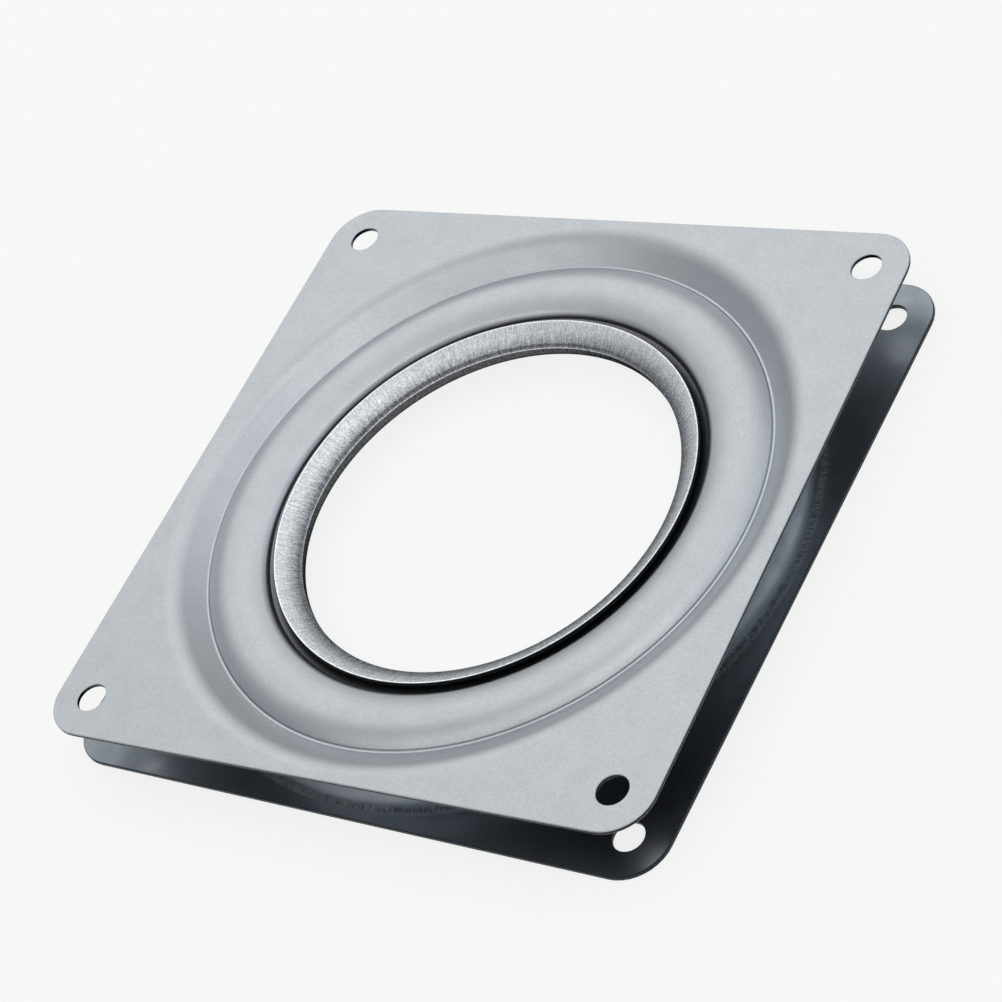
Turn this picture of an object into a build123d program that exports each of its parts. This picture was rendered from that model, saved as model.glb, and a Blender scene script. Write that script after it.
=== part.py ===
from build123d import *
from math import cos, hypot, radians, sin, tan
import os

# A lazy susan bearing: two square plates, pressed from sheet steel, turn on a ring of balls.
# The lower plate's centre is drawn up into a collar, which passes through the upper plate and is
# flared over its inner lip. The part lies flat on the lower plate, centred on Z, with its base at z = 0.

# Driving sizes, in millimetres and degrees

# Both plates
plate_side = 114.3
corner_radius = 7.4
sheet = 0.8
upper_turn = 1.47

# Screw holes, on a square: from a hole's centre to both sides beside it
screw_inset = 7.15
screw_hole_d = 5.2

# Balls, and the play that each has against both races
ball_d = 6.35
ball_count = 24
race_play = 0.1

# Moulded cage, with a round pocket for each ball
cage_width = 8.6
cage_height = 2.4
pocket_play = 0.15

# Pressed ring of both plates, from the side inwards: flat border, ramp down to the crease, race over
# the balls, and wall down to the seat. Its crest lies race_depth below the mounting face, and the
# drops are taken from that crest, and from the shoulder on top of the wall.
side_border = 3.16
ramp_angle = 34.7
ramp_bend = 6.0
crease_bend = 0.5
crease_drop = 1.655
crease_outside_balls = 4.925
race_depth = 1.575
outer_flank_angle = 37.0
inner_flank_angle = 22.0
shoulder_drop = 1.175
shoulder_inside_balls = 5.7
wall_angle = 68.0
wall_drop = 1.03
seat_bend = 0.4
straight_between_bends = 0.05

# Collar of the lower plate, and the lip of the upper plate under its flare
rim_wall_gap = 0.81
rim_depth = 2.53
flare_angle = 28.0
flare_reach = 3.9
collar_inner_bend = 0.4
lip_collar_gap = 1.0
lip_play = 0.3

# Heights and depths that follow: the balls set the height of the whole
height = ball_d + 2 * (race_play + sheet + race_depth)
mid_height = height / 2
crease_depth = race_depth + crease_drop
shoulder_depth = race_depth + shoulder_drop
seat_depth = shoulder_depth + wall_drop

# Radii that follow, from the side inwards
ramp_top_r = plate_side / 2 - side_border
crease_r = ramp_top_r - crease_depth / tan(radians(ramp_angle))
outer_crest_r = crease_r - crease_drop / tan(radians(outer_flank_angle))
ball_circle_r = crease_r - crease_outside_balls
shoulder_r = ball_circle_r - shoulder_inside_balls
inner_crest_r = shoulder_r + shoulder_drop / tan(radians(inner_flank_angle))
seat_r = shoulder_r - wall_drop / tan(radians(wall_angle))
rim_r = seat_r - rim_wall_gap - sheet * sin(radians(flare_angle))
opening_r = rim_r - flare_reach
lip_r = opening_r + sheet + lip_collar_gap

# Bends of the race and shoulder: each takes up what its neighbours leave of the flank or the wall
crease_reach = crease_bend * tan(radians(ramp_angle + outer_flank_angle) / 2)
outer_flank_reach = crease_drop / sin(radians(outer_flank_angle)) - crease_reach - straight_between_bends
outer_flank_bend = outer_flank_reach / tan(radians(outer_flank_angle) / 2)
seat_reach = seat_bend * tan(radians(wall_angle) / 2)
shoulder_reach = wall_drop / sin(radians(wall_angle)) - seat_reach - straight_between_bends
shoulder_bend = shoulder_reach / tan(radians(wall_angle - inner_flank_angle) / 2)
inner_flank_reach = shoulder_drop / sin(radians(inner_flank_angle)) - shoulder_reach - straight_between_bends
inner_flank_bend = inner_flank_reach / tan(radians(inner_flank_angle) / 2)

# The flare is a cone: its rim lies rim_depth below the upper mounting face, and the lip's inner
# edge runs lip_play under it
flare_slope = tan(radians(flare_angle))
rim_height = height - rim_depth
flare_root_height = rim_height - (rim_r - opening_r) * flare_slope
lip_height = rim_height - (rim_r - lip_r) * flare_slope - (sheet + lip_play) / cos(radians(flare_angle))


def parallel_line(points, bends, gap):
    """Return the corners and bend radii of the line that runs beside a bent line, gap to its right."""
    headings = []
    for (start_r, start_z), (end_r, end_z) in zip(points, points[1:]):
        run = hypot(end_r - start_r, end_z - start_z)
        headings.append(((end_r - start_r) / run, (end_z - start_z) / run))
    corners = []
    new_bends = []
    before_after = zip([headings[0]] + headings, headings + [headings[-1]])
    for (r, z), (before, after) in zip(points, before_after):
        stretch = gap / (1 + before[0] * after[0] + before[1] * after[1])
        corners.append((r + stretch * (before[1] + after[1]), z - stretch * (before[0] + after[0])))
    for bend, before, after in zip(bends, headings, headings[1:]):
        turns_left = before[0] * after[1] - before[1] * after[0] > 0
        new_bends.append(bend + gap if turns_left else bend - gap)
    return corners, new_bends


def sheet_section(points, bends, z_of_depth):
    """Return the cut face of a bent sheet whose outer side follows the points of radius and depth."""
    inner_points, inner_bends = parallel_line(points, bends, sheet)
    outer = FilletPolyline(*[(r, z_of_depth(depth)) for r, depth in points], radius=bends)
    inner = FilletPolyline(*[(r, z_of_depth(depth)) for r, depth in inner_points], radius=inner_bends)
    ends = [Line(outer @ 0, inner @ 0), Line(outer @ 1, inner @ 1)]
    return Plane.XZ * make_face([*outer.edges(), *inner.edges(), *ends])


def pressed_ring():
    """Return the outline that both plates share, from beyond the corners in to the wall's foot."""
    points = [
        (plate_side, 0),
        (ramp_top_r, 0),
        (crease_r, crease_depth),
        (outer_crest_r, race_depth),
        (inner_crest_r, race_depth),
        (shoulder_r, shoulder_depth),
        (seat_r, seat_depth),
    ]
    bends = [ramp_bend, crease_bend, outer_flank_bend, inner_flank_bend, shoulder_bend, seat_bend]
    return points, bends


def blank_and_pierce(pressing):
    """Cut a revolved pressing to its square outline and pierce the four screw holes."""
    outline = extrude(RectangleRounded(plate_side, plate_side, corner_radius), height)
    screw_spacing = plate_side - 2 * screw_inset
    circles = Sketch() + GridLocations(screw_spacing, screw_spacing, 2, 2) * Circle(screw_hole_d / 2)
    return (pressing & outline) - extrude(circles, height)


def make_lower_plate():
    """Return the lower plate with its collar and flare, all one sheet."""
    points, bends = pressed_ring()
    points += [(opening_r, seat_depth), (opening_r, flare_root_height), (rim_r, rim_height)]
    bends += [collar_inner_bend + sheet] * 2
    section = sheet_section(points, bends, lambda depth: depth)
    return blank_and_pierce(revolve(section, Axis.Z))


def make_upper_plate():
    """Return the upper plate, turned on its balls, with the coned lip that the flare holds down."""
    points, bends = pressed_ring()
    points += [(lip_r, height - lip_height)]
    section = sheet_section(points, bends, lambda depth: height - depth)
    return Rot(0, 0, upper_turn) * blank_and_pierce(revolve(section, Axis.Z))


def ball_places():
    """Return the balls' centres, evenly spaced on their circle half way between the plates."""
    return [Pos(0, 0, mid_height) * place for place in PolarLocations(ball_circle_r, ball_count)]


def make_balls():
    """Return one ball for each place."""
    return [place * Sphere(ball_d / 2) for place in ball_places()]


def make_cage():
    """Return the ring that spaces the balls: each pocket closes on its ball above and below."""
    ring = Circle(ball_circle_r + cage_width / 2) - Circle(ball_circle_r - cage_width / 2)
    cage = Pos(0, 0, mid_height) * extrude(ring, cage_height / 2, both=True)
    pockets = [place * Sphere(ball_d / 2 + pocket_play) for place in ball_places()]
    return cage - pockets


nodes = {
    "lower_plate": make_lower_plate(),
    "upper_plate": make_upper_plate(),
    "ball_cage": make_cage(),
}
for number, ball in enumerate(make_balls(), start=1):
    nodes[f"ball_{number:02d}"] = ball

os.makedirs("parts", exist_ok=True)
for name, shape in nodes.items():
    export_step(shape, f"parts/{name}.step")
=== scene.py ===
"""Lazy susan bearing: two pressed steel plates that turn on caged balls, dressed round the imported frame.

The file is laid out as an add-on and run as a script. Lengths are in metres, and the frame's axes are kept:
the part lies flat on its lower plate, centred on Z, with its base at z = 0.
"""

from math import cos, log, radians, sin, tan

import bpy
from bpy.props import FloatProperty, FloatVectorProperty, IntProperty, PointerProperty
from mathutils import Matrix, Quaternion, Vector


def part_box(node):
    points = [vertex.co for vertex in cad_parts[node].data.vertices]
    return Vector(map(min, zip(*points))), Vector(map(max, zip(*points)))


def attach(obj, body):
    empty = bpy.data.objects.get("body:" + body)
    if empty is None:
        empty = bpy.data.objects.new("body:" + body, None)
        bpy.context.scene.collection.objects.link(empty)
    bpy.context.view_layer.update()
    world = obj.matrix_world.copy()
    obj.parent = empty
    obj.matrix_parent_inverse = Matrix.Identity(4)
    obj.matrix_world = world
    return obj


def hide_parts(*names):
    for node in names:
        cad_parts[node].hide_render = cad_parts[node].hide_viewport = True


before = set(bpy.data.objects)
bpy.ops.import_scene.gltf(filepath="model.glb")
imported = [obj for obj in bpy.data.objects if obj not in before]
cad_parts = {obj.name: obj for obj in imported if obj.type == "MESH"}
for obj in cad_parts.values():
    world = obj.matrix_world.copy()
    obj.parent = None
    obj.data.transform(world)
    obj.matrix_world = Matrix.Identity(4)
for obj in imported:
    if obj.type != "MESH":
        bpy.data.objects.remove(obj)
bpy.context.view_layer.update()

bl_info = {
    "name": "Lazy susan bearing",
    "version": (1, 0, 0),
    "blender": (4, 5, 0),
    "location": "3D View > Sidebar > Bearing",
    "description": "Builds the pressed plates, balls, cage and studio of a lazy susan bearing",
    "category": "Add Mesh",
}

MM = 0.001

# Faces round a screw hole, and the gap that is welded where the pressed ring meets the border
HOLE_COLUMNS = 48
WELD_GAP = 0.002 * MM

# Faces across a rolled edge, and how far an edge has to turn to be rolled
EDGE_FACES = 2
SHARP_EDGE = radians(50)

# Texture of the plating's fine grain
GRAIN = {"Detail": 2, "Roughness": 0.6}

# The camera's sensor and nearest reach, and how far the floor reaches
SENSOR_MM = 36
NEAREST = 10 * MM
FLOOR_REACH = 20

# Light that comes evenly from all round
EVEN_LIGHT = 0.1

# Plain light, and the cooler light that comes in low from the sides
WHITE = "#FFFFFF"
COOL = "#D6E0F5"

# Soft boxes on the studio's dome: azimuth from +X, height and half width in degrees, strength and tint
SOFT_BOXES = {
    "behind": (140, 38, 25, 1.05, WHITE),
    "behind, high": (100, 65, 18, 0.4, WHITE),
    "front, high": (240, 55, 18, 1.0, WHITE),
    "over the camera": (345, 75, 17, 1.1, WHITE),
    "right, high": (60, 50, 23, 0.54, WHITE),
    "right, low": (45, 5, 30, 0.8, COOL),
    "left, low": (200, 5, 24, 0.35, COOL),
    "beside the camera, low": (315, 8, 40, 0.35, WHITE),
}


# Values taken from the frame

lower_low, lower_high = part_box("lower_plate")
_, upper_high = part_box("upper_plate")
cad_height = upper_high.z
cad_side = lower_high.x - lower_low.x


# Properties that a user would change

def to_linear(code):
    """Return a hex colour, written as it looks on screen, in linear values."""
    knee, slope, offset, power = 0.04045, 12.92, 0.055, 2.4
    parts = [int(code[place : place + 2], 16) / 255 for place in (1, 3, 5)]
    return [part / slope if part <= knee else ((part + offset) / (1 + offset)) ** power for part in parts]


def length(name, description, millimetres, lowest=0):
    """Return a property for a length, given in millimetres and kept in metres."""
    return FloatProperty(
        name=name,
        description=description,
        default=millimetres * MM,
        min=lowest,
        precision=5,
        subtype="DISTANCE",
        unit="LENGTH",
    )


def angle(name, description, degrees):
    """Return a property for an angle, given in degrees."""
    return FloatProperty(
        name=name, description=description, default=radians(degrees), subtype="ANGLE", unit="ROTATION"
    )


def colour(name, description, code):
    """Return a property for a colour, given as a hex code."""
    return FloatVectorProperty(
        name=name, description=description, default=to_linear(code), size=3, min=0, max=1, subtype="COLOR"
    )


class BearingPlateSizes(bpy.types.PropertyGroup):
    """Sizes of the two plates, which share one die from their sides in to the seat."""

    height: length("Height", "From mounting face to mounting face", cad_height / MM)
    side: length("Side", "Side of the square plates", cad_side / MM)
    corner_radius: length("Corner radius", "Radius of the outline's corners", 7.4)
    sheet: length("Sheet", "Thickness of the sheet steel", 0.8)
    upper_turn: angle("Upper turn", "How far the upper plate stands turned on its balls", 1.47)
    screw_inset: length("Screw inset", "From a screw hole's centre to both sides beside it", 7.15)
    screw_hole_d: length("Screw hole", "Diameter of the screw holes", 5.2)
    side_border: length("Side border", "Flat between the side and the ramp, at its narrowest", 3.16)
    ramp_angle: angle("Ramp angle", "Slope of the ramp from the flat border to the crease", 34.7)
    ramp_bend: length("Ramp bend", "Radius of the bend at the top of the ramp", 6.0)
    crease_bend: length("Crease bend", "Radius of the bend in the crease", 0.5)
    crease_drop: length("Crease drop", "From the race's crest down to the crease", 1.655)
    crease_outside_balls: length("Crease outside balls", "From the balls' circle out to the crease", 4.925)
    race_depth: length("Race depth", "From the mounting face down to the race's crest", 1.575)
    outer_flank_angle: angle("Outer flank angle", "Slope of the race's outer flank", 37)
    inner_flank_angle: angle("Inner flank angle", "Slope of the race's inner flank", 22)
    shoulder_drop: length("Shoulder drop", "From the race's crest down to the shoulder", 1.175)
    shoulder_inside_balls: length("Shoulder inside balls", "From the balls' circle in to the shoulder", 5.7)
    wall_angle: angle("Wall angle", "Slope of the wall inside the shoulder", 68)
    wall_drop: length("Wall drop", "From the shoulder down to the seat", 1.03)
    seat_bend: length("Seat bend", "Radius of the bend at the foot of the wall", 0.4)
    straight_between_bends: length("Straight between bends", "What each bend leaves of a flank", 0.05)
    rim_wall_gap: length("Rim gap", "Between the flare's rim and the wall of the upper plate", 0.81)
    rim_depth: length("Rim depth", "From the upper mounting face down to the flare's rim", 2.53)
    flare_angle: angle("Flare angle", "Slope of the flare", 28)
    flare_reach: length("Flare reach", "From the collar's bore out to the flare's rim", 3.9)
    rim_level: length("Rim level", "Level band along the flare's rim, left by the tool's shoulder", 0.35)
    collar_bend: length("Collar bend", "Outer radius of the bends at the collar's foot and at the flare", 1.2)
    lip_collar_gap: length("Lip gap", "Between the collar and the lip of the upper plate", 1.0)
    lip_play: length("Lip play", "Between the flare and the lip under it", 0.3)
    edge_round: length("Edge round", "How far the blanking tool rolled the cut edges over", 0.14)
    columns: IntProperty(name="Columns", description="Faces round each pressed ring", default=288, min=48)
    bend_steps: IntProperty(name="Bend steps", description="Points along each bend", default=10, min=3)


class BearingFinishes(bpy.types.PropertyGroup):
    """Colours of the finishes, and the real size of what marks them."""

    zinc: colour("Zinc", "Zinc plating on the pressed sheet", "#C2C7CB")
    # Darker than the zinc partly as painted shade for the faces between the plates
    greased_and_shaded: colour("Greased zinc", "The same plating inside, under a film of bearing grease", "#949BA1")
    drawn: colour("Drawn steel", "Plating stretched and rubbed by the flaring tool", "#DCE1E4")
    glancing: colour("Glancing tint", "What drawn steel mirrors when seen at a slant", "#6C6F73")
    sheared: colour("Sheared edge", "Bare edge of the sheet", "#30363B")
    ball: colour("Balls", "Polished bearing steel", "#DADCDD")
    cage: colour("Cage", "Moulded nylon of the cage", "#2B2D2F")
    floor: colour("Floor", "Pale studio floor", "#F9FAFA")

    # A pixel of the photograph's view is 0.16 mm wide. The real grain of the plating, of the tool's marks and
    # of the mould is finer than that, and is drawn as coarse as it needs to show.
    grain: length("Plating grain", "Width of the grain in the plating", 0.32)
    cloud: length("Plating cloud", "Width of the faint clouds in the plating", 5)
    # The crease's painted highlight and painted shade lines take their widths from this too
    crease_mark: length("Crease mark", "Width of the line that the die's edge pressed in the crease", 0.3)
    tool_mark: length("Tool mark", "Width of one mark of the flaring tool", 0.32)
    tool_mark_run: length("Tool mark run", "Length of one mark of the flaring tool", 3)
    # The bright line along the flare's rim is a painted highlight
    rim_highlight_width: length("Rim mark", "Width of the bright line that the tool left along the flare's rim", 0.35)
    # The bright line at the foot is a painted highlight low on the flare's bend, and the bore below it has
    # painted shade
    foot_drop: length("Foot drop", "From the flare's root down to where the tool stopped", 0.7)
    foot_highlight_width: length("Foot mark", "Width of the bright line where the tool stopped", 0.1)
    ripple: length("Ripple", "Width of one ripple that drawing left round the foot of the ramp", 0.5)
    ripple_run: length("Ripple run", "Length of one ripple", 2)
    shear_mark: length("Shear mark", "Width of one mark across the sheared edge", 0.12)
    ball_mark: length("Ball mark", "Width of the faint marks of running on the balls", 0.5)
    cage_grain: length("Cage grain", "Width of the grain that the mould left on the cage", 0.25)


class BearingStudio(bpy.types.PropertyGroup):
    """Where the camera stands, and how white the floor shows."""

    azimuth: angle("Azimuth", "Camera's direction round the part, from straight in front", 52.0)
    elevation: angle("Elevation", "Camera's height above the horizon", 42.365)
    roll: angle("Roll", "How far the camera leans", -32.755)
    distance: length("Distance", "From the camera to the upper mounting face", 471.4)
    aim_x: length("Aim X", "Where the camera's axis meets the upper mounting face, along X", 6.54)
    aim_y: length("Aim Y", "Where it meets that face, along Y", -2.48, lowest=-1)
    lens: FloatProperty(
        name="Lens", description=f"Focal length in millimetres on a {SENSOR_MM} mm sensor", default=107.56
    )
    floor_white: FloatProperty(
        name="Floor white",
        description="Share of the floor that shows as plain white",
        default=0.8,
        min=0,
        max=1,
    )


# Node trees

def add(tree, kind, inputs=None, **settings):
    """Add a node with its settings; each input gets a value, or the node or socket that feeds it."""
    node = tree.nodes.new(kind)
    for name, value in settings.items():
        setattr(node, name, value)
    for key, value in (inputs or {}).items():
        if isinstance(value, bpy.types.Node):
            value = value.outputs[0]
        if isinstance(value, bpy.types.NodeSocket):
            tree.links.new(value, node.inputs[key])
        else:
            node.inputs[key].default_value = value
    return node


def grow(name, tree, values):
    """Run a geometry tree with these values for its inputs, and return its result as a plain mesh object."""
    piece = bpy.data.objects.new(name, bpy.data.meshes.new(name))
    bpy.context.scene.collection.objects.link(piece)
    modifier = piece.modifiers.new(tree.name, "NODES")
    modifier.node_group = tree
    for socket in tree.interface.items_tree:
        if socket.in_out == "INPUT":
            modifier[socket.identifier] = values[socket.name]
    depsgraph = bpy.context.evaluated_depsgraph_get()
    mesh = bpy.data.meshes.new_from_object(piece.evaluated_get(depsgraph), depsgraph=depsgraph)
    piece.modifiers.remove(modifier)
    piece.data = mesh
    mesh.name = name
    mesh.materials.pop(index=0)
    return piece


# The pressed plates

def pressed_ring(s):
    """Return the corners that both plates share, from the ramp in to the seat: name, radius, depth, bend."""
    crease_depth = s.race_depth + s.crease_drop
    shoulder_depth = s.race_depth + s.shoulder_drop
    ramp_top_r = s.side / 2 - s.side_border
    crease_r = ramp_top_r - crease_depth / tan(s.ramp_angle)
    shoulder_r = crease_r - s.crease_outside_balls - s.shoulder_inside_balls
    crease_reach = s.crease_bend * tan((s.ramp_angle + s.outer_flank_angle) / 2)
    seat_reach = s.seat_bend * tan(s.wall_angle / 2)
    outer_reach = s.crease_drop / sin(s.outer_flank_angle) - crease_reach - s.straight_between_bends
    shoulder_reach = s.wall_drop / sin(s.wall_angle) - seat_reach - s.straight_between_bends
    inner_reach = s.shoulder_drop / sin(s.inner_flank_angle) - shoulder_reach - s.straight_between_bends
    outer_crest_r = crease_r - s.crease_drop / tan(s.outer_flank_angle)
    inner_crest_r = shoulder_r + s.shoulder_drop / tan(s.inner_flank_angle)
    seat_r = shoulder_r - s.wall_drop / tan(s.wall_angle)
    shoulder_turn = s.wall_angle - s.inner_flank_angle
    return [
        ("Ramp top", ramp_top_r, 0, s.ramp_bend),
        ("Crease", crease_r, crease_depth, s.crease_bend),
        ("Outer crest", outer_crest_r, s.race_depth, outer_reach / tan(s.outer_flank_angle / 2)),
        ("Inner crest", inner_crest_r, s.race_depth, inner_reach / tan(s.inner_flank_angle / 2)),
        ("Shoulder", shoulder_r, shoulder_depth, shoulder_reach / tan(shoulder_turn / 2)),
        ("Seat", seat_r, shoulder_depth + s.wall_drop, s.seat_bend),
    ]


def flare_radii(s):
    """Return the radii of the flare's rim and of the collar's bore."""
    seat_r = pressed_ring(s)[-1][1]
    rim_r = seat_r - s.rim_wall_gap - s.sheet * sin(s.flare_angle)
    return rim_r, rim_r - s.flare_reach


def lower_corners(s):
    """Return the lower plate's corners with their heights: the ring, the collar and the flare."""
    rim_r, bore_r = flare_radii(s)
    ring = pressed_ring(s)
    rim_height = s.height - s.rim_depth
    root_height = rim_height - s.flare_reach * tan(s.flare_angle)
    return ring + [
        ("Collar foot", bore_r, ring[-1][2], s.collar_bend),
        ("Flare root", bore_r, root_height, s.collar_bend),
        ("Rim crest", rim_r - s.rim_level, rim_height, 0),
        ("Rim", rim_r, rim_height, 0),
    ]


def upper_corners(s):
    """Return the upper plate's corners with their heights: the ring turned over and the lip in the flare."""
    rim_r, bore_r = flare_radii(s)
    ring = [(name, r, s.height - depth, bend) for name, r, depth, bend in pressed_ring(s)]
    lip_r = bore_r + s.sheet + s.lip_collar_gap
    under_flare = (rim_r - lip_r) * tan(s.flare_angle) + (s.sheet + s.lip_play) / cos(s.flare_angle)
    return ring + [("Lip", lip_r, s.height - s.rim_depth - under_flare, 0)]


def plate_tree(name, corners):
    """Return a geometry tree: a rounded section, lathed and joined to a square border with four holes."""
    tree = bpy.data.node_groups.new(name, "GeometryNodeTree")
    tree.interface.new_socket("Geometry", in_out="OUTPUT", socket_type="NodeSocketGeometry")
    lengths = ["Side", "Corner radius", "Screw spacing", "Screw hole radius", "Border radius", "Face height"]
    for corner in corners:
        lengths += [f"{corner} radius", f"{corner} height", f"{corner} bend"]
    for label in lengths + ["Turn", "Drawn above"]:
        tree.interface.new_socket(label, in_out="INPUT", socket_type="NodeSocketFloat")
    for label in ("Columns", "Bend steps"):
        tree.interface.new_socket(label, in_out="INPUT", socket_type="NodeSocketInt")
    tree.interface.new_socket("Faces up", in_out="INPUT", socket_type="NodeSocketBool")
    for label in ("Sheet finish", "Drawn finish"):
        tree.interface.new_socket(label, in_out="INPUT", socket_type="NodeSocketMaterial")
    size = add(tree, "NodeGroupInput").outputs

    # The section, from the flat border inwards, with each corner rounded by its own bend
    index = add(tree, "GeometryNodeInputIndex")
    places = add(tree, "GeometryNodeIndexSwitch", {0: index}, data_type="VECTOR")
    bends = add(tree, "GeometryNodeIndexSwitch", {0: index}, data_type="FLOAT")
    for switch in (places, bends):
        for _ in corners[1:]:
            switch.index_switch_items.new()
    start = add(tree, "ShaderNodeCombineXYZ", {"X": size["Border radius"], "Z": size["Face height"]})
    first_item = 1
    tree.links.new(start.outputs[0], places.inputs[first_item])
    for item, corner in enumerate(corners, start=first_item + 1):
        spot = {"X": size[f"{corner} radius"], "Z": size[f"{corner} height"]}
        point = add(tree, "ShaderNodeCombineXYZ", spot)
        tree.links.new(point.outputs[0], places.inputs[item])
        tree.links.new(size[f"{corner} bend"], bends.inputs[item])
    line = add(tree, "GeometryNodeMeshLine", {"Count": len(corners) + 1})
    bent = add(tree, "GeometryNodeSetPosition", {"Geometry": line, "Position": places})
    curve = add(tree, "GeometryNodeMeshToCurve", {"Mesh": bent})
    bending = {"Curve": curve, "Count": size["Bend steps"], "Radius": bends, "Limit Radius": False}
    section = add(tree, "GeometryNodeFilletCurve", bending, mode="POLY")

    # The ring: a grid of 1 by 1 whose rows follow the section and whose columns go once round the axis
    rows = add(tree, "GeometryNodeAttributeDomainSize", {"Geometry": section}, component="CURVE")
    seam = add(tree, "ShaderNodeMath", {0: size["Columns"], 1: 1}, operation="ADD")
    cells = {"Size X": 1, "Size Y": 1, "Vertices X": rows, "Vertices Y": seam}
    grid = add(tree, "GeometryNodeMeshGrid", cells)
    grid_half = 0.5
    position = add(tree, "GeometryNodeInputPosition")
    across = add(tree, "ShaderNodeSeparateXYZ", {0: position})
    last_row = add(tree, "ShaderNodeMath", {0: rows, 1: 1}, operation="SUBTRACT")
    row_share = add(tree, "ShaderNodeMath", {0: across.outputs["X"], 1: grid_half}, operation="ADD")
    row = add(tree, "ShaderNodeMath", {0: row_share, 1: last_row}, operation="MULTIPLY")
    whole_row = add(tree, "ShaderNodeMath", {0: row}, operation="ROUND")
    turn_share = add(tree, "ShaderNodeMath", {0: across.outputs["Y"], 1: grid_half}, operation="ADD")
    turn = add(tree, "ShaderNodeMath", {0: turn_share, 1: radians(360)}, operation="MULTIPLY")
    sampled = {"Geometry": section, "Value": position, "Index": whole_row}
    place = add(tree, "GeometryNodeSampleIndex", sampled, data_type="FLOAT_VECTOR")
    lathed = add(tree, "ShaderNodeVectorRotate", {"Vector": place, "Angle": turn}, rotation_type="Z_AXIS")
    ring = add(tree, "GeometryNodeSetPosition", {"Geometry": grid, "Position": lathed})
    ring_out = add(tree, "GeometryNodeFlipFaces", {"Mesh": ring, "Selection": size["Faces up"]})

    # The border: the square outline, the ring's outermost circle and the four holes, filled flat
    sides = {"Width": size["Side"], "Height": size["Side"]}
    square = add(tree, "GeometryNodeCurvePrimitiveQuadrilateral", sides)
    rounding = {"Curve": square, "Count": size["Bend steps"], "Radius": size["Corner radius"]}
    outline = add(tree, "GeometryNodeFilletCurve", rounding, mode="POLY")
    meeting = {"Resolution": size["Columns"], "Radius": size["Border radius"]}
    circle = add(tree, "GeometryNodeCurvePrimitiveCircle", meeting)
    hole_size = {"Resolution": HOLE_COLUMNS, "Radius": size["Screw hole radius"]}
    hole = add(tree, "GeometryNodeCurvePrimitiveCircle", hole_size)
    spacing = {"Width": size["Screw spacing"], "Height": size["Screw spacing"]}
    centres = add(tree, "GeometryNodeCurvePrimitiveQuadrilateral", spacing)
    holes = add(tree, "GeometryNodeInstanceOnPoints", {"Points": centres, "Instance": hole})
    real_holes = add(tree, "GeometryNodeRealizeInstances", {"Geometry": holes})
    edges = add(tree, "GeometryNodeJoinGeometry")
    for part in (outline, circle, real_holes):
        tree.links.new(part.outputs[0], edges.inputs[0])
    fill = add(tree, "GeometryNodeFillCurve", {"Curve": edges}, mode="NGONS")
    lift = add(tree, "ShaderNodeCombineXYZ", {"Z": size["Face height"]})
    border = add(tree, "GeometryNodeTransform", {"Geometry": fill, "Translation": lift})
    faces_down = add(tree, "FunctionNodeBooleanMath", {0: size["Faces up"]}, operation="NOT")
    border_out = add(tree, "GeometryNodeFlipFaces", {"Mesh": border, "Selection": faces_down})

    # Both are welded, turned, and given their finishes
    joined = add(tree, "GeometryNodeJoinGeometry")
    for part in (border_out, ring_out):
        tree.links.new(part.outputs[0], joined.inputs[0])
    welded = add(tree, "GeometryNodeMergeByDistance", {"Geometry": joined, "Distance": WELD_GAP})
    about_z = add(tree, "ShaderNodeCombineXYZ", {"Z": size["Turn"]})
    turned = add(tree, "GeometryNodeTransform", {"Geometry": welded, "Rotation": about_z})
    smooth = add(tree, "GeometryNodeSetShadeSmooth", {"Geometry": turned})
    real = add(tree, "GeometryNodeRealizeInstances", {"Geometry": smooth})
    all_zinc = add(tree, "GeometryNodeSetMaterial", {"Geometry": real, "Material": size["Sheet finish"]})
    above = add(tree, "ShaderNodeSeparateXYZ", {0: position})
    heights = {"A": above.outputs["Z"], "B": size["Drawn above"]}
    drawn = add(tree, "FunctionNodeCompare", heights, data_type="FLOAT", operation="GREATER_THAN")
    drawn_part = {"Geometry": all_zinc, "Selection": drawn, "Material": size["Drawn finish"]}
    finished = add(tree, "GeometryNodeSetMaterial", drawn_part)
    add(tree, "NodeGroupOutput", {0: finished})
    return tree


def press_plate(name, corners, s, finishes, drawn_above, faces_up=False, turn=0):
    """Return a plate grown from its corners, thickened to the sheet and with its cut edges rolled over."""
    zinc, drawn, greased_and_shaded, sheared = finishes
    # Ring and border meet on a circle that leaves a quarter of the side border outside it
    border_r = s.side / 2 - s.side_border / 4
    values = {
        "Side": s.side,
        "Corner radius": s.corner_radius,
        "Screw spacing": s.side - 2 * s.screw_inset,
        "Screw hole radius": s.screw_hole_d / 2,
        "Border radius": border_r,
        "Face height": s.height if faces_up else 0,
        "Turn": turn,
        "Drawn above": drawn_above,
        "Columns": s.columns,
        "Bend steps": s.bend_steps,
        "Faces up": faces_up,
        "Sheet finish": zinc,
        "Drawn finish": drawn,
    }
    for corner, radius, height, bend in corners:
        values[f"{corner} radius"] = radius
        values[f"{corner} height"] = height
        values[f"{corner} bend"] = bend
    piece = grow(name, plate_tree(name, [corner[0] for corner in corners]), values)
    # The inner shell takes the slot two further on, and the cut edges take the last one
    slots = [zinc, drawn, greased_and_shaded, greased_and_shaded, sheared]
    for material in slots[len(piece.data.materials):]:
        piece.data.materials.append(material)
    thickness = piece.modifiers.new("Sheet", "SOLIDIFY")
    thickness.thickness = s.sheet
    thickness.offset = -1
    thickness.use_even_offset = True
    thickness.material_offset = slots.index(greased_and_shaded)
    thickness.material_offset_rim = slots.index(sheared)
    edges = piece.modifiers.new("Rolled edges", "BEVEL")
    edges.width = s.edge_round
    edges.segments = EDGE_FACES
    edges.limit_method = "ANGLE"
    edges.angle_limit = SHARP_EDGE
    edges.harden_normals = True
    # The upper plate's rolled edges keep their plating; the lower plate shows the tool's bare side
    edges.material = slots.index(zinc if faces_up else sheared)
    return piece


# Finishes

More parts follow.
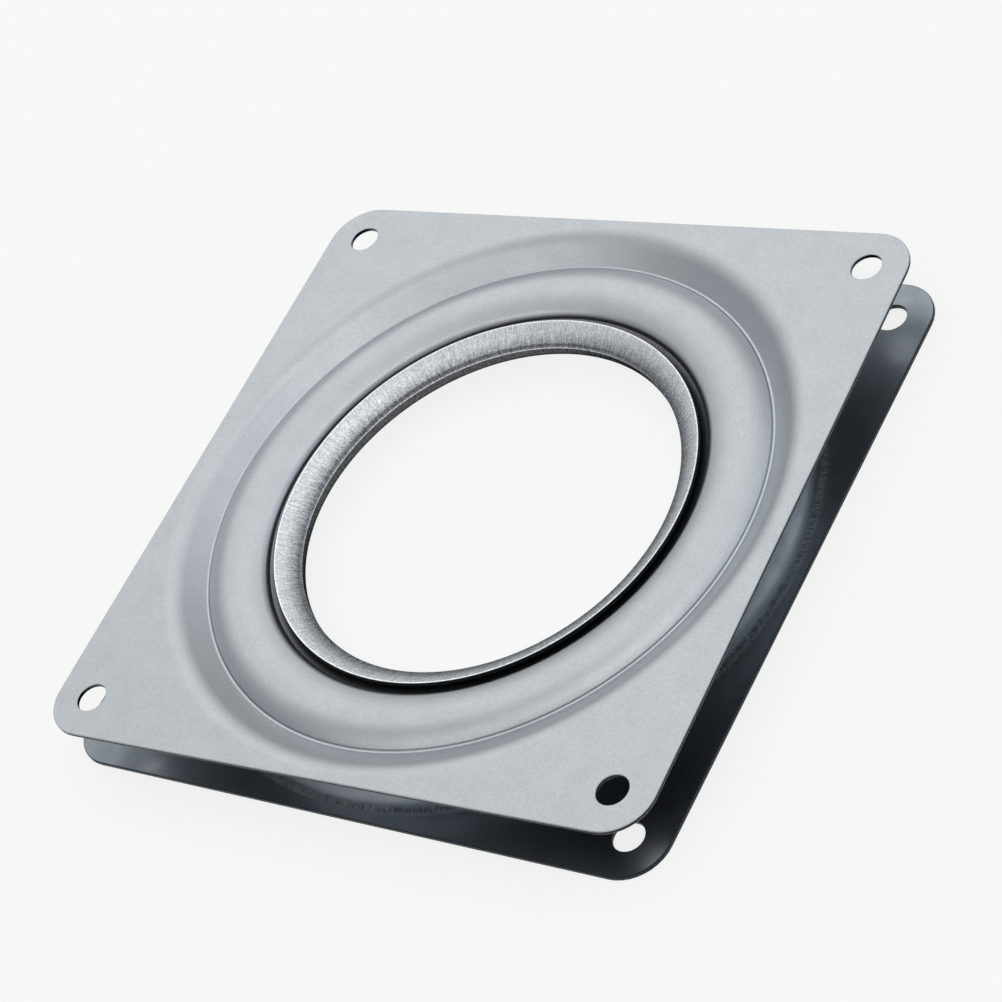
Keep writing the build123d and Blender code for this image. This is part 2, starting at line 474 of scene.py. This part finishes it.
def shader(name, metallic):
    """Return a new material, its tree and its surface shader.

    In every tree here a Mix node's inputs 0, 2 and 3 are its factor and the two numbers that it blends.
    """
    material = bpy.data.materials.new(name)
    material.use_nodes = True
    surface = material.node_tree.nodes["Principled BSDF"]
    surface.inputs["Metallic"].default_value = metallic
    return material, material.node_tree, surface


def from_axis(tree):
    """Return the object's own place, the direction out from the axis there, the radius and the height."""
    place = add(tree, "ShaderNodeTexCoord").outputs["Object"]
    flat = add(tree, "ShaderNodeVectorMath", {0: place, 1: (1, 1, 0)}, operation="MULTIPLY")
    outward = add(tree, "ShaderNodeVectorMath", {0: flat}, operation="NORMALIZE")
    radius = add(tree, "ShaderNodeVectorMath", {0: flat}, operation="LENGTH").outputs["Value"]
    height = add(tree, "ShaderNodeSeparateXYZ", {0: place}).outputs["Z"]
    return place, outward, radius, height


def speckle(tree, place, width, spread, **texture):
    """Return noise from 0 to 1 with grains this wide; a smaller spread gives it more contrast."""
    noise = add(tree, "ShaderNodeTexNoise", {"Vector": place, "Scale": 1 / width, **texture})
    middle = 0.5
    limits = {"Value": noise, "From Min": middle - spread, "From Max": middle + spread}
    return add(tree, "ShaderNodeMapRange", limits)


def radial_marks(tree, outward, along, at_radius, width, run, spread):
    """Return marks from 0 to 1 that run out from the axis, this wide at that radius and this long."""
    marks_round = at_radius / width
    round_axis = add(tree, "ShaderNodeVectorMath", {0: outward, "Scale": marks_round}, operation="SCALE")
    steps = add(tree, "ShaderNodeMath", {0: along, 1: run}, operation="DIVIDE")
    lift = add(tree, "ShaderNodeCombineXYZ", {"Z": steps})
    stretched = add(tree, "ShaderNodeVectorMath", {0: round_axis, 1: lift}, operation="ADD")
    return speckle(tree, stretched, width=1, spread=spread, Detail=4, Roughness=0.65, Distortion=0.35)


def line_at(tree, value, middle, half_width):
    """Return 1 where a value is at the middle, falling softly to 0 at half_width to either side."""
    off = add(tree, "ShaderNodeMath", {0: value, 1: middle}, operation="SUBTRACT")
    away = add(tree, "ShaderNodeMath", {0: off}, operation="ABSOLUTE")
    falling = {"Value": away, "From Max": half_width, "To Min": 1, "To Max": 0}
    return add(tree, "ShaderNodeMapRange", falling, interpolation_type="SMOOTHSTEP")


def overlaid(tree, base, *layers):
    """Return a pattern with a share of each layer added to it; a share below 0 takes it away."""
    for layer, share in layers:
        base = add(tree, "ShaderNodeMath", {0: layer, 1: share, 2: base}, operation="MULTIPLY_ADD")
    return base


def shaded(tree, surface, base, pattern, darkest, lightest, roughest, smoothest):
    """Let a pattern drive a surface's shade and roughness; outside 0 to 1 the shade alone goes on."""
    shades = {"Value": pattern, "To Min": darkest, "To Max": lightest}
    shade = add(tree, "ShaderNodeMapRange", shades, clamp=False)
    tinted = add(tree, "ShaderNodeVectorMath", {0: base, "Scale": shade}, operation="SCALE")
    gloss = add(tree, "ShaderNodeMapRange", {"Value": pattern, "To Min": roughest, "To Max": smoothest})
    tree.links.new(tinted.outputs[0], surface.inputs["Base Color"])
    tree.links.new(gloss.outputs[0], surface.inputs["Roughness"])


def raised(tree, surface, pattern, height):
    """Let a pattern from 0 to 1 raise a surface by up to this height."""
    bump = add(tree, "ShaderNodeBump", {"Height": pattern, "Distance": height})
    tree.links.new(bump.outputs[0], surface.inputs["Normal"])


def zinc_plated_sheet(f, crease_r, seat_r):
    """Zinc-plated cold-rolled sheet: satin grey with a fine grain and faint clouds.

    They keep its large faces from looking dead flat. The crease has a small step, pressed by the die's edge,
    with a painted highlight on its corner and a painted shade line beside it, and the lip and wall get
    painted shade round the flare.
    """
    material, tree, surface = shader("zinc_plated_sheet", metallic=1)
    place, _, radius, height = from_axis(tree)
    grain = speckle(tree, place, f.grain, spread=0.16, **GRAIN)
    cloud = speckle(tree, place, f.cloud, spread=0.2, Detail=3, Roughness=0.55)
    cloud_share = 0.3
    mixed = add(tree, "ShaderNodeMix", {0: cloud_share, 2: grain, 3: cloud})

    # The crease: a painted highlight on its corner, and a painted shade line at the step on its inner side
    step_r = crease_r - f.crease_mark
    bright = line_at(tree, radius, crease_r, half_width=0.6 * f.crease_mark)
    dark = line_at(tree, radius, step_r, half_width=0.7 * f.crease_mark)
    step_low, step_high = step_r - f.crease_mark / 2, step_r + f.crease_mark / 2
    falling = {"Value": radius, "From Min": step_low, "From Max": step_high, "To Min": 1, "To Max": 0}
    step = add(tree, "ShaderNodeMapRange", falling, interpolation_type="SMOOTHSTEP")

    # Painted shade on the lip and wall inside the seat, on the upper side alone
    wall_shade_full_r, wall_shade_end_r = seat_r - 0.2 * MM, seat_r + 0.1 * MM
    wall_shade_fading = {"Value": radius, "From Min": wall_shade_full_r, "From Max": wall_shade_end_r, "To Min": 1, "To Max": 0}
    inside = add(tree, "ShaderNodeMapRange", wall_shade_fading)
    above = add(tree, "ShaderNodeMath", {0: height, 1: cad_height / 2}, operation="GREATER_THAN")
    painted_wall_shade = add(tree, "ShaderNodeMath", {0: inside, 1: above}, operation="MULTIPLY")

    # The lip and wall inside the seat are darkened here as painted shade
    pattern = overlaid(tree, mixed, (bright, 0.5), (dark, -1.6), (painted_wall_shade, -4))
    shaded(tree, surface, f.zinc, pattern, darkest=0.92, lightest=1.08, roughest=0.39, smoothest=0.33)
    raised(tree, surface, overlaid(tree, step, (grain, 0.04)), height=0.12 * MM)
    return material


def greased_and_shaded_zinc_sheet(f, ramp_top_r):
    """The same plating inside under a thin film of bearing grease, darker partly as painted shade.

    The film makes it glossier, with soft smears. Short ripples round the foot of the ramp show
    where drawing gathered the sheet.
    """
    material, tree, surface = shader("greased_and_shaded_zinc_sheet", metallic=1)
    place, outward, radius, _ = from_axis(tree)
    grain = speckle(tree, place, f.grain, spread=0.2, **GRAIN)
    smear = speckle(tree, place, f.cloud, spread=0.2, Detail=3, Distortion=0.6)
    smear_share = 0.7
    mixed = add(tree, "ShaderNodeMix", {0: smear_share, 2: grain, 3: smear})
    ripples = radial_marks(tree, outward, radius, ramp_top_r, f.ripple, f.ripple_run, spread=0.15)
    half_run = f.ripple_run / 2
    band = line_at(tree, radius, ramp_top_r + half_run, half_width=half_run)
    gathered = add(tree, "ShaderNodeMath", {0: ripples, 1: band}, operation="MULTIPLY")
    pattern = overlaid(tree, mixed, (gathered, -2.4))
    # Its darker colour is partly painted shade on the faces between the plates
    shaded(tree, surface, f.greased_and_shaded, pattern, darkest=0.86, lightest=1.1, roughest=0.38, smoothest=0.3)
    raised(tree, surface, gathered, height=0.1 * MM)
    return material


def drawn_steel(f, rim_r, bore_r, root_height):
    """Plated steel drawn over a flaring tool: bright and dark marks that run with the draw.

    Painted shading brightens them outwards from the flare's bend to a painted highlight along the rim. The
    bore below them is darkened with painted shade.
    """
    material, tree, surface = shader("drawn_steel", metallic=1)
    surface.inputs["Specular Tint"].default_value = (*f.glancing, 1)
    place, outward, radius, height = from_axis(tree)
    along = add(tree, "ShaderNodeMath", {0: radius, 1: height}, operation="ADD")
    marks = radial_marks(tree, outward, along, bore_r, f.tool_mark, f.tool_mark_run, spread=0.14)
    grain = speckle(tree, place, f.grain, spread=0.14, **GRAIN)
    grain_share = 0.5
    mixed = add(tree, "ShaderNodeMix", {0: grain_share, 2: marks, 3: grain})

    # Flare: painted shade at its bend, lighter from just over half way out, and a painted highlight on the
    # rim
    bent_share, darkened, brightened = 0.55, -0.8, 0.15
    bent_r = bore_r + bent_share * (rim_r - bore_r)
    opening = {"From Min": bore_r, "From Max": bent_r, "To Min": darkened, "To Max": brightened}
    bent = add(tree, "ShaderNodeMapRange", {"Value": radius, **opening})
    # Painted highlight along the flare's rim
    rim = line_at(tree, radius, rim_r - f.rim_highlight_width / 2, half_width=f.rim_highlight_width)

    # The bore: a painted highlight line at its top, and painted shade below it, even but for the grain
    foot_height = root_height - f.foot_drop
    # Painted highlight low on the flare's bend
    foot = line_at(tree, height, foot_height + f.foot_highlight_width, half_width=f.foot_highlight_width)
    painted_bore_shade = add(tree, "ShaderNodeMapRange", {"Value": grain, "To Min": -0.8, "To Max": -0.6})
    bore_shade_edge = {"Value": height, "From Min": foot_height - f.foot_highlight_width, "From Max": foot_height}
    above_bore_shade = add(tree, "ShaderNodeMapRange", bore_shade_edge)

    lit = overlaid(tree, mixed, (bent, 1), (rim, 0.8), (foot, 1.2))
    # Below the foot the pattern gives way to the bore's painted shade
    pattern = add(tree, "ShaderNodeMix", {0: above_bore_shade, 2: painted_bore_shade, 3: lit})
    shaded(tree, surface, f.drawn, pattern, darkest=0.55, lightest=1.15, roughest=0.3, smoothest=0.16)
    raised(tree, surface, mixed, height=0.04 * MM)
    return material


def sheared_edge(f):
    """Edge of the sheet as the blanking tool left it: bare, dark and rough, with marks across it."""
    material, tree, surface = shader("sheared_edge", metallic=1)
    place = add(tree, "ShaderNodeTexCoord").outputs["Object"]
    # Slow change along Z draws each mark out across the edge
    slow_upwards = (1, 1, 0.15)
    upright = add(tree, "ShaderNodeVectorMath", {0: place, 1: slow_upwards}, operation="MULTIPLY")
    marks = speckle(tree, upright, f.shear_mark, spread=0.15, Detail=2)
    shaded(tree, surface, f.sheared, marks, darkest=0.7, lightest=1.3, roughest=0.55, smoothest=0.35)
    raised(tree, surface, marks, height=0.01 * MM)
    return material


def plate_finishes(s, f):
    """Return what both plates are finished with: their faces, drawn collar, inside and cut edges."""
    corners = lower_corners(s)
    radii = {name: radius for name, radius, _, _ in corners}
    heights = {name: height for name, _, height, _ in corners}
    rim_r, bore_r = flare_radii(s)
    drawn = drawn_steel(f, rim_r, bore_r, heights["Flare root"])
    zinc = zinc_plated_sheet(f, radii["Crease"], radii["Seat"])
    greased_and_shaded = greased_and_shaded_zinc_sheet(f, radii["Ramp top"])
    return zinc, drawn, greased_and_shaded, sheared_edge(f)


def polished_ball_steel(f):
    """Lapped bearing steel: almost a mirror, hazed a little where the balls have run."""
    material, tree, surface = shader("polished_ball_steel", metallic=1)
    place = add(tree, "ShaderNodeTexCoord").outputs["Object"]
    marks = speckle(tree, place, f.ball_mark, spread=0.2, Detail=2)
    shaded(tree, surface, f.ball, marks, darkest=0.97, lightest=1.02, roughest=0.12, smoothest=0.06)
    return material


def moulded_nylon(f):
    """Moulded nylon: dark, with a dull sheen broken by the fine grain of the mould."""
    material, tree, surface = shader("moulded_nylon", metallic=0)
    place = add(tree, "ShaderNodeTexCoord").outputs["Object"]
    grain = speckle(tree, place, f.cage_grain, spread=0.2, Detail=2)
    shaded(tree, surface, f.cage, grain, darkest=0.9, lightest=1.1, roughest=0.55, smoothest=0.42)
    raised(tree, surface, grain, height=0.01 * MM)
    return material


def finish_node(name, material):
    """Give a CAD node its finish."""
    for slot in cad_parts[name].material_slots:
        slot.material = material


# The studio

def soft_box(tree, box, towards):
    """Return the light of a soft box on the studio's dome: half as strong half_width away from its middle."""
    azimuth, elevation, half_width, strength, tint = box
    level = cos(radians(elevation))
    middle = (cos(radians(azimuth)) * level, sin(radians(azimuth)) * level, sin(radians(elevation)))
    sharpness = log(2) / (1 - cos(radians(half_width)))
    aligned = add(tree, "ShaderNodeVectorMath", {0: towards, 1: middle}, operation="DOT_PRODUCT")
    fading = {0: aligned.outputs["Value"], 1: sharpness, 2: -sharpness}
    faded = add(tree, "ShaderNodeMath", fading, operation="MULTIPLY_ADD")
    glow = add(tree, "ShaderNodeMath", {0: faded}, operation="EXPONENT")
    full = [strength * part for part in to_linear(tint)]
    return add(tree, "ShaderNodeVectorMath", {0: full, "Scale": glow}, operation="SCALE")


def add_camera(scene, studio, height):
    """Stand the camera at the photograph's viewing angle, aimed at the upper mounting face."""
    camera = bpy.data.objects.new("camera", bpy.data.cameras.new("camera"))
    camera.data.lens = studio.lens
    camera.data.sensor_width = SENSOR_MM
    camera.data.clip_start = NEAREST
    aim = Vector((studio.aim_x, studio.aim_y, height))
    level = cos(studio.elevation)
    back = Vector((sin(studio.azimuth) * level, -cos(studio.azimuth) * level, sin(studio.elevation)))
    camera.location = aim + back * studio.distance
    camera.rotation_mode = "QUATERNION"
    camera.rotation_quaternion = back.to_track_quat("Z", "Y") @ Quaternion((0, 0, 1), studio.roll)
    scene.collection.objects.link(camera)
    scene.camera = camera


def add_floor(scene, studio, pale):
    """Lay a wide pale floor, which shows nearly white and keeps the part's shadow."""
    signs = ((-1, -1), (1, -1), (1, 1), (-1, 1))
    corners = [(x * FLOOR_REACH, y * FLOOR_REACH, 0) for x, y in signs]
    mesh = bpy.data.meshes.new("floor")
    mesh.from_pydata(corners, [], [(0, 1, 2, 3)])
    floor = bpy.data.objects.new("floor", mesh)
    scene.collection.objects.link(floor)
    material, tree, surface = shader("pale_floor", metallic=0)
    surface.inputs["Base Color"].default_value = (*pale, 1)
    surface.inputs["Roughness"].default_value = 1
    surface.inputs["Specular IOR Level"].default_value = 0

    # To the camera, and in what metal mirrors, it is nearly plain white
    path = add(tree, "ShaderNodeLightPath").outputs
    seen = path["Is Camera Ray"]
    for ray in ("Is Glossy Ray", "Is Transmission Ray"):
        seen = add(tree, "ShaderNodeMath", {0: seen, 1: path[ray]}, operation="MAXIMUM")
    share = add(tree, "ShaderNodeMath", {0: seen, 1: studio.floor_white}, operation="MULTIPLY")
    white = add(tree, "ShaderNodeEmission", {"Color": (*to_linear(WHITE), 1), "Strength": 1})
    mix = add(tree, "ShaderNodeMixShader", {0: share, 1: surface, 2: white})

    # From below it is clear, so that the underside can be looked at
    from_below = add(tree, "ShaderNodeNewGeometry").outputs["Backfacing"]
    nothing = add(tree, "ShaderNodeBsdfTransparent")
    clear = add(tree, "ShaderNodeMixShader", {0: from_below, 1: mix, 2: nothing})
    tree.links.new(clear.outputs[0], tree.nodes["Material Output"].inputs["Surface"])
    mesh.materials.append(material)


def add_soft_light(scene):
    """Light the studio from a dark dome with large soft boxes on it."""
    world = bpy.data.worlds.new("studio")
    world.use_nodes = True
    scene.world = world
    tree = world.node_tree
    towards = add(tree, "ShaderNodeTexCoord").outputs["Generated"]
    light = add(tree, "ShaderNodeCombineXYZ", {axis: EVEN_LIGHT for axis in "XYZ"})
    for box in SOFT_BOXES.values():
        glow = soft_box(tree, box, towards)
        light = add(tree, "ShaderNodeVectorMath", {0: light, 1: glow}, operation="ADD")
    tree.links.new(light.outputs[0], tree.nodes["Background"].inputs["Color"])


# Operators

class BEARING_OT_plates(bpy.types.Operator):
    """Press both plates: the lower with its collar and flare, the upper with its lip, turned on the balls"""

    bl_idname = "bearing.plates"
    bl_label = "Press plates"

    def execute(self, context):
        s, f = context.scene.bearing_plates, context.scene.bearing_finishes
        finishes = plate_finishes(s, f)
        # The lower plate is drawn from just above its seat up, and the upper plate nowhere
        seat_height = pressed_ring(s)[-1][2]
        collar_from = seat_height + s.sheet / 8
        past_the_top = s.height + s.sheet
        lower = press_plate("pressed_lower_plate", lower_corners(s), s, finishes, drawn_above=collar_from)
        upper = press_plate(
            "pressed_upper_plate",
            upper_corners(s),
            s,
            finishes,
            drawn_above=past_the_top,
            faces_up=True,
            turn=s.upper_turn,
        )
        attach(lower, "lower_plate")
        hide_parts("lower_plate")
        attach(upper, "upper_plate")
        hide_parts("upper_plate")
        return {"FINISHED"}


class BEARING_OT_balls(bpy.types.Operator):
    """Polish the balls"""

    bl_idname = "bearing.balls"
    bl_label = "Polish balls"

    def execute(self, context):
        steel = polished_ball_steel(context.scene.bearing_finishes)
        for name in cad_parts:
            if name.startswith("ball_") and name != "ball_cage":
                finish_node(name, steel)
        return {"FINISHED"}


class BEARING_OT_cage(bpy.types.Operator):
    """Finish the moulded cage"""

    bl_idname = "bearing.cage"
    bl_label = "Mould cage"

    def execute(self, context):
        finish_node("ball_cage", moulded_nylon(context.scene.bearing_finishes))
        return {"FINISHED"}


class BEARING_OT_studio(bpy.types.Operator):
    """Set up the floor, the soft light and the camera"""

    bl_idname = "bearing.studio"
    bl_label = "Set up studio"

    def execute(self, context):
        scene, studio = context.scene, context.scene.bearing_studio
        add_camera(scene, studio, context.scene.bearing_plates.height)
        add_floor(scene, studio, context.scene.bearing_finishes.floor)
        add_soft_light(scene)
        scene.view_settings.view_transform = "Standard"
        return {"FINISHED"}


# Sidebar and registration

class BEARING_PT_sidebar(bpy.types.Panel):
    """Sidebar panel with the sizes, the finishes and a button for each piece"""

    bl_label = "Lazy susan bearing"
    bl_idname = "BEARING_PT_sidebar"
    bl_space_type = "VIEW_3D"
    bl_region_type = "UI"
    bl_category = "Bearing"

    def draw(self, context):
        for operator in OPERATORS:
            self.layout.operator(operator.bl_idname)
        for group in (getattr(context.scene, name) for name in GROUPS):
            box = self.layout.box()
            for size in group.__annotations__:
                box.prop(group, size)


GROUPS = {
    "bearing_plates": BearingPlateSizes,
    "bearing_finishes": BearingFinishes,
    "bearing_studio": BearingStudio,
}
OPERATORS = (
    BEARING_OT_plates,
    BEARING_OT_balls,
    BEARING_OT_cage,
    BEARING_OT_studio,
)


def register():
    """Register the properties, the operators and the panel."""
    for name, group in GROUPS.items():
        bpy.utils.register_class(group)
        setattr(bpy.types.Scene, name, PointerProperty(type=group))
    for operator in OPERATORS:
        bpy.utils.register_class(operator)
    bpy.utils.register_class(BEARING_PT_sidebar)


def unregister():
    """Take them all out again."""
    bpy.utils.unregister_class(BEARING_PT_sidebar)
    for operator in OPERATORS:
        bpy.utils.unregister_class(operator)
    for name, group in GROUPS.items():
        delattr(bpy.types.Scene, name)
        bpy.utils.unregister_class(group)


def main():
    """Build every piece round the frame."""
    register()
    bpy.ops.bearing.plates()
    bpy.ops.bearing.balls()
    bpy.ops.bearing.cage()
    bpy.ops.bearing.studio()


if __name__ == "__main__":
    main()
